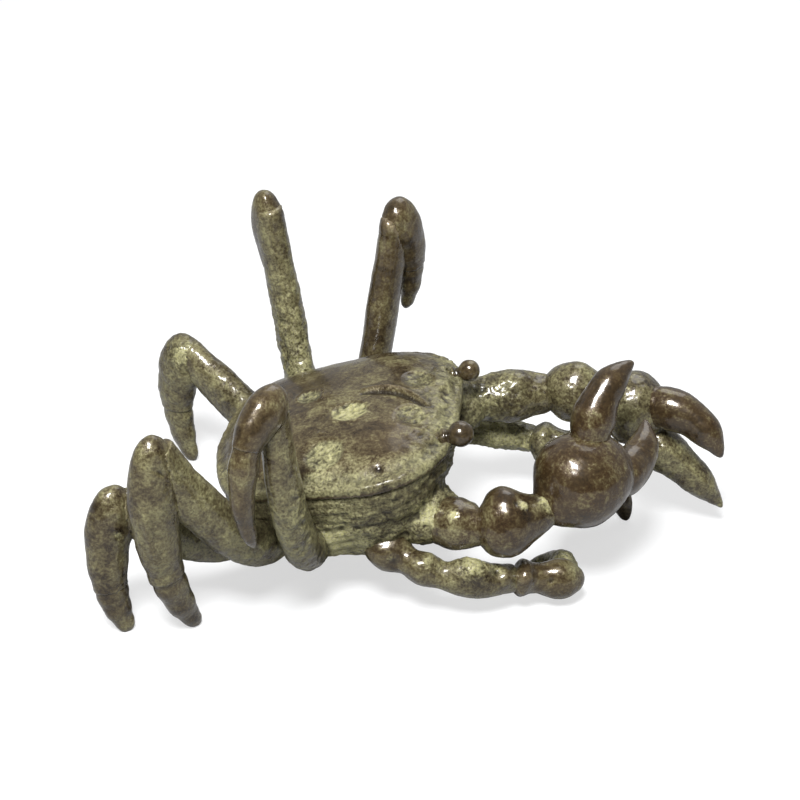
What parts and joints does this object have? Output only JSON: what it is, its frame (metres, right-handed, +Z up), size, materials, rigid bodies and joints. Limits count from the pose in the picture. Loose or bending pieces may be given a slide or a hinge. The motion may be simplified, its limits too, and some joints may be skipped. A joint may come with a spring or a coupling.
{
  "type": "crab figurine",
  "caption": "Cast bronze crab standing on its feet and one folded forelimb, with a domed shell, ball eyes, raised jointed legs and two heavy curved claws.",
  "frame": {"origin": "on the surface it stands on, under the middle of the figure's overall box", "axes": "+X towards the crab's claws, its head end; +Y to the crab's own left; +Z up from the surface it stands on"},
  "size_m": [0.092, 0.0673, 0.0468],
  "materials": {
    "shell_bronze": "brown patinated bronze, rubbed to a soft grey sheen on top, olive verdigris in the sunken spots",
    "body_bronze": "patinated bronze with a dull, crusty olive verdigris",
    "eye_bronze": "polished dark brown patinated bronze",
    "claw_bronze": "glossy red-brown patinated bronze, olive verdigris at the roots",
    "leg_bronze": "glossy brown patinated bronze, olive verdigris towards the body"
  },
  "bodies": {
    "root": {"carapace": "shell_bronze", "claw_left_arm": "claw_bronze", "claw_left_finger": "claw_bronze", "claw_left_palm": "claw_bronze", "claw_left_wrist": "claw_bronze", "claw_right_arm": "claw_bronze", "claw_right_finger": "claw_bronze", "claw_right_palm": "claw_bronze", "claw_right_wrist": "claw_bronze", "eye_left": "eye_bronze", "eye_right": "eye_bronze", "leg_left_1_lower": "leg_bronze", "leg_left_1_tip": "leg_bronze", "leg_left_1_upper": "leg_bronze", "leg_left_2_lower": "leg_bronze", "leg_left_2_tip": "leg_bronze", "leg_left_2_upper": "leg_bronze", "leg_left_3_lower": "leg_bronze", "leg_left_3_tip": "leg_bronze", "leg_left_3_upper": "leg_bronze", "leg_left_4_lower": "leg_bronze", "leg_left_4_tip": "leg_bronze", "leg_left_4_upper": "leg_bronze", "leg_right_1_lower": "leg_bronze", "leg_right_1_tip": "leg_bronze", "leg_right_1_upper": "leg_bronze", "leg_right_2_lower": "leg_bronze", "leg_right_2_tip": "leg_bronze", "leg_right_2_upper": "leg_bronze", "leg_right_3_lower": "leg_bronze", "leg_right_3_tip": "leg_bronze", "leg_right_3_upper": "leg_bronze", "leg_right_4_lower": "leg_bronze", "leg_right_4_tip": "leg_bronze", "leg_right_4_upper": "leg_bronze", "underbody": "body_bronze"}
  },
  "joints": []
}
